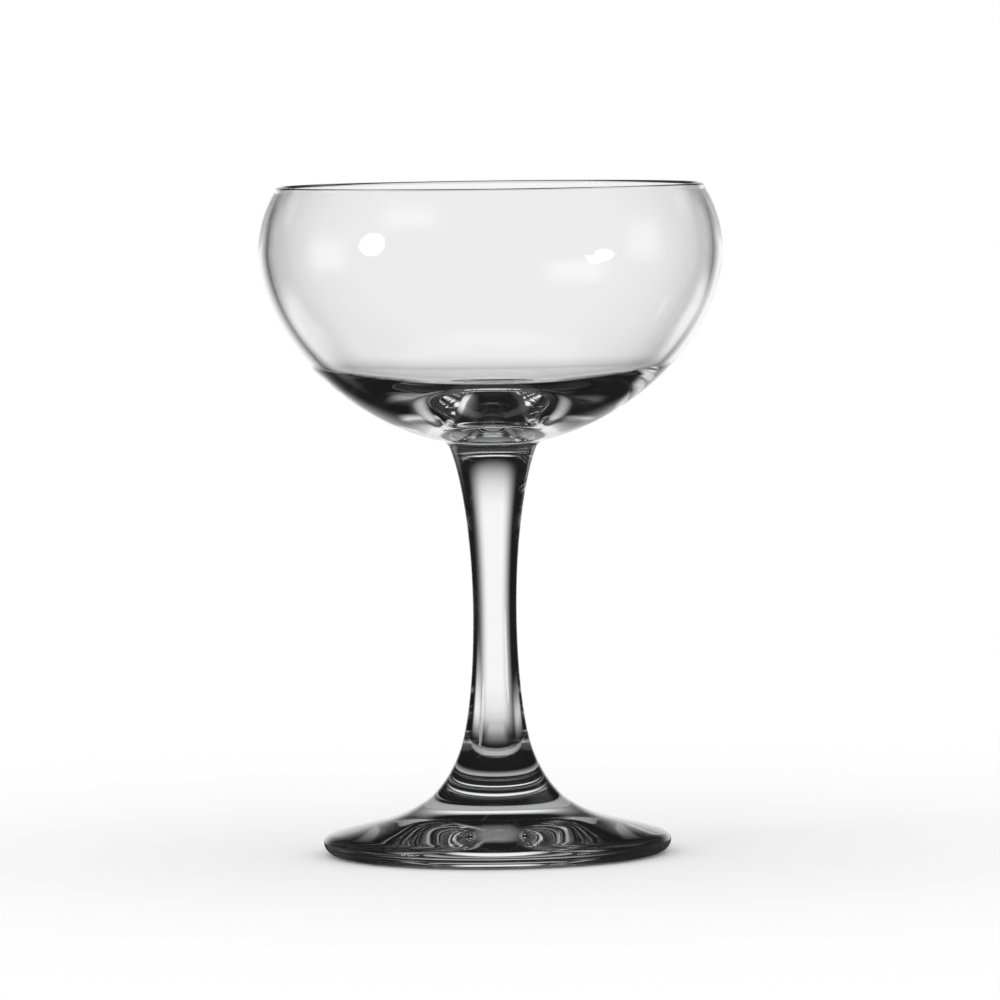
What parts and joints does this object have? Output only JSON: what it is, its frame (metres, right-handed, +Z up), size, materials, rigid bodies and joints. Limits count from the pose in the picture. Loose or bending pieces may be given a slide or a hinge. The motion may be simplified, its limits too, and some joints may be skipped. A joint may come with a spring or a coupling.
{
  "type": "margarita glass",
  "caption": "Clear stemmed coupe glass: rounded saucer bowl drawn in at the rim, solid waisted stem, wide flared foot with a flat standing ring.",
  "frame": {"origin": "centre of the circle that the foot stands on, at table height", "axes": "+Z up along the glass's own axis; +X and +Y lie in the table plane and are alike, because the glass is turned"},
  "size_m": [0.096, 0.096, 0.1384],
  "materials": {
    "bowl_glass": "clear, fire-polished, smooth on both sides",
    "stem_glass": "clear, solid, smooth drawn side",
    "foot_glass": "clear, pressed, fire-polished, with a standing ring that wears slightly dull"
  },
  "bodies": {
    "root": {"bowl": "bowl_glass", "stem": "stem_glass", "foot": "foot_glass"}
  },
  "joints": []
}
